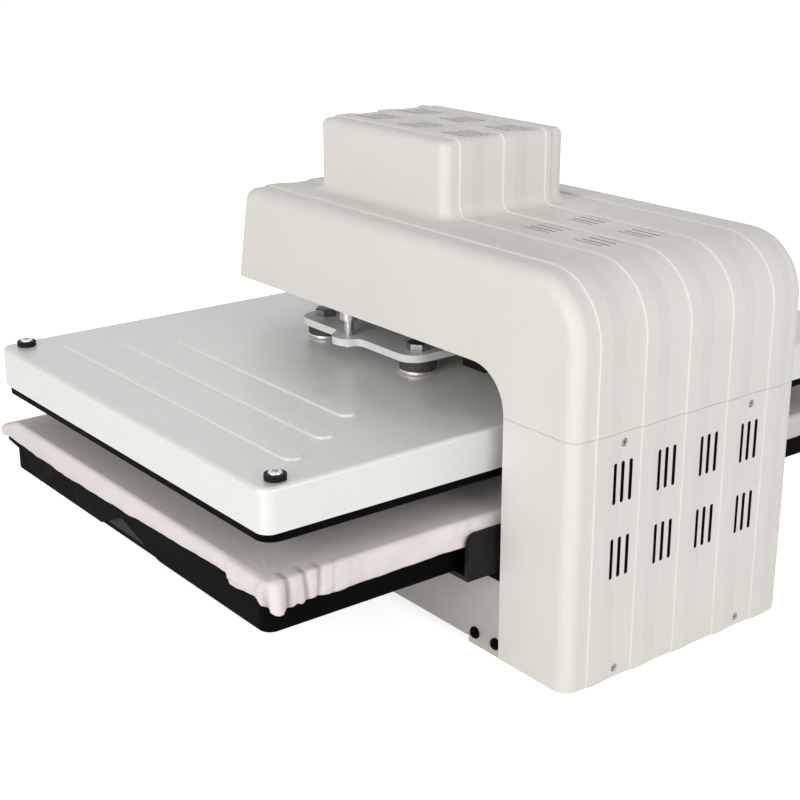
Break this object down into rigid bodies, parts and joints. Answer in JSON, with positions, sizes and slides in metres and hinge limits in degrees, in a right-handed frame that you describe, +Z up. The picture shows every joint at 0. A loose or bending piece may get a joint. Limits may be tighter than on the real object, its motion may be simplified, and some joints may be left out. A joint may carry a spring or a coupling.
{
  "type": "automatic heat press",
  "caption": "Bench heat press: an electric screw in a C-shaped casing lowers a heated flat platen onto a cotton-covered pad on a pull-out tray.",
  "frame": {"origin": "centre of the bounding box on the floor, with the tray in and the platen raised", "axes": "+Z up, -X towards the operator and the control panel, +X towards the column and its vents, Y across the platen's long side"},
  "size_m": [0.506, 0.62, 0.3668],
  "materials": {
    "casing": "fine-textured off-white",
    "cover_paint": "satin silver-grey enamel",
    "arm_paint": "satin light grey enamel",
    "black_paint": "satin black powder coat",
    "white_paint": "satin white powder coat",
    "frame_paint": "grey primer",
    "heater": "machined",
    "element": "heat-stained tube",
    "blanket": "glass-fibre wool",
    "zinc": "bright zinc plate",
    "ground_steel": "ground",
    "bronze": "sintered bronze",
    "black_rubber": "dull",
    "brown_rubber": "dull dark brown",
    "silicone": "closed-cell sponge",
    "cotton": "thin woven cotton",
    "board": "pressed fibre board",
    "beige_strip": "dull",
    "motor_alloy": "cast",
    "motor_black": "satin black",
    "black_plastic": "matt",
    "grey_plastic": "matt",
    "display": "tinted window",
    "key_plastic": "smooth",
    "red_plastic": "smooth",
    "circuit": "solder mask",
    "plated_case": "folded sheet"
  },
  "bodies": {
    "frame": {"casing_upper": "casing", "casing_lower": "casing", "beam_underside": "black_paint", "casing_screws": "zinc", "frame_plate_left": "frame_paint", "frame_plate_right": "frame_paint", "frame_ties": "frame_paint", "frame_spacers": "frame_paint", "rear_bars": "frame_paint", "head_plate": "frame_paint", "guide_bushes": "ground_steel", "bearing_housing": "motor_alloy", "gearbox": "motor_alloy", "motor_can": "motor_black", "arm_housing": "arm_paint", "arm_screws": "black_paint", "foot_strips": "beige_strip", "front_feet": "black_rubber", "bed_rails": "black_paint", "rear_angle": "black_paint", "front_strip": "black_paint", "control_panel": "black_plastic", "display_window": "display", "panel_board": "circuit", "estop_collar": "grey_plastic", "power_inlet": "black_plastic", "switch_frame": "black_plastic", "power_supply": "plated_case", "control_board": "circuit", "heater_relay": "motor_alloy", "fan_frame": "black_plastic"},
    "head": {"spider_plate": "white_paint", "rubber_buffers": "brown_rubber", "buffer_discs": "zinc", "spider_bolts": "zinc", "guide_rods": "ground_steel", "ball_nut": "ground_steel", "platen_cover": "cover_paint", "heater_plate": "heater", "platen_rim": "black_paint", "heating_elements": "element", "insulation_blanket": "blanket", "platen_washers": "black_rubber", "platen_screws": "zinc", "terminal_block": "black_plastic", "terminal_screws": "zinc"},
    "screw": {"drive_screw": "ground_steel"},
    "drawer": {"tray": "black_paint", "tray_liners": "grey_plastic", "pad_cover": "cotton", "pad_board": "board", "silicone_pad": "silicone"},
    "fan": {"fan_rotor": "black_plastic"},
    "estop": {"estop_button": "red_plastic"},
    "power_rocker": {"rocker": "black_plastic"},
    "key_1": {"panel_key_1": "key_plastic"},
    "key_2": {"panel_key_2": "key_plastic"},
    "key_3": {"panel_key_3": "key_plastic"},
    "key_4": {"panel_key_4": "key_plastic"}
  },
  "joints": [
    {"name": "head_slide", "type": "slide", "parent": "frame", "child": "head", "axis": [0, 0, 1], "range_m": [-0.0254, 0]},
    {"name": "screw_turn", "type": "hinge", "parent": "frame", "child": "screw", "pos_m": [-0.031, 0, 0.2], "axis": [0, 0, 1], "range_deg": [-914.5, 0]},
    {"name": "drawer_slide", "type": "slide", "parent": "frame", "child": "drawer", "axis": [-1, 0, 0], "range_m": [0, 0.18]},
    {"name": "fan_spin", "type": "hinge", "parent": "frame", "child": "fan", "pos_m": [0.237, 0, 0.1492], "axis": [1, 0, 0], "continuous": true},
    {"name": "estop_push", "type": "slide", "parent": "frame", "child": "estop", "axis": [0.9793, 0, -0.2025], "range_m": [0, 0.004]},
    {"name": "power_rocker_tilt", "type": "hinge", "parent": "frame", "child": "power_rocker", "pos_m": [0.216, 0.1167, 0.104], "axis": [0, 0, 1], "range_deg": [-16, 0]},
    {"name": "key_1_push", "type": "slide", "parent": "frame", "child": "key_1", "axis": [0.9793, 0, -0.2025], "range_m": [0, 0.0015], "stiffness_N_per_m": 400},
    {"name": "key_2_push", "type": "slide", "parent": "frame", "child": "key_2", "axis": [0.9793, 0, -0.2025], "range_m": [0, 0.0015], "stiffness_N_per_m": 400},
    {"name": "key_3_push", "type": "slide", "parent": "frame", "child": "key_3", "axis": [0.9793, 0, -0.2025], "range_m": [0, 0.0015], "stiffness_N_per_m": 400},
    {"name": "key_4_push", "type": "slide", "parent": "frame", "child": "key_4", "axis": [0.9793, 0, -0.2025], "range_m": [0, 0.0015], "stiffness_N_per_m": 400}
  ],
  "couplings": [
    {"joint": "screw_turn", "follows": "head_slide", "rad_per_m": 628.32}
  ]
}
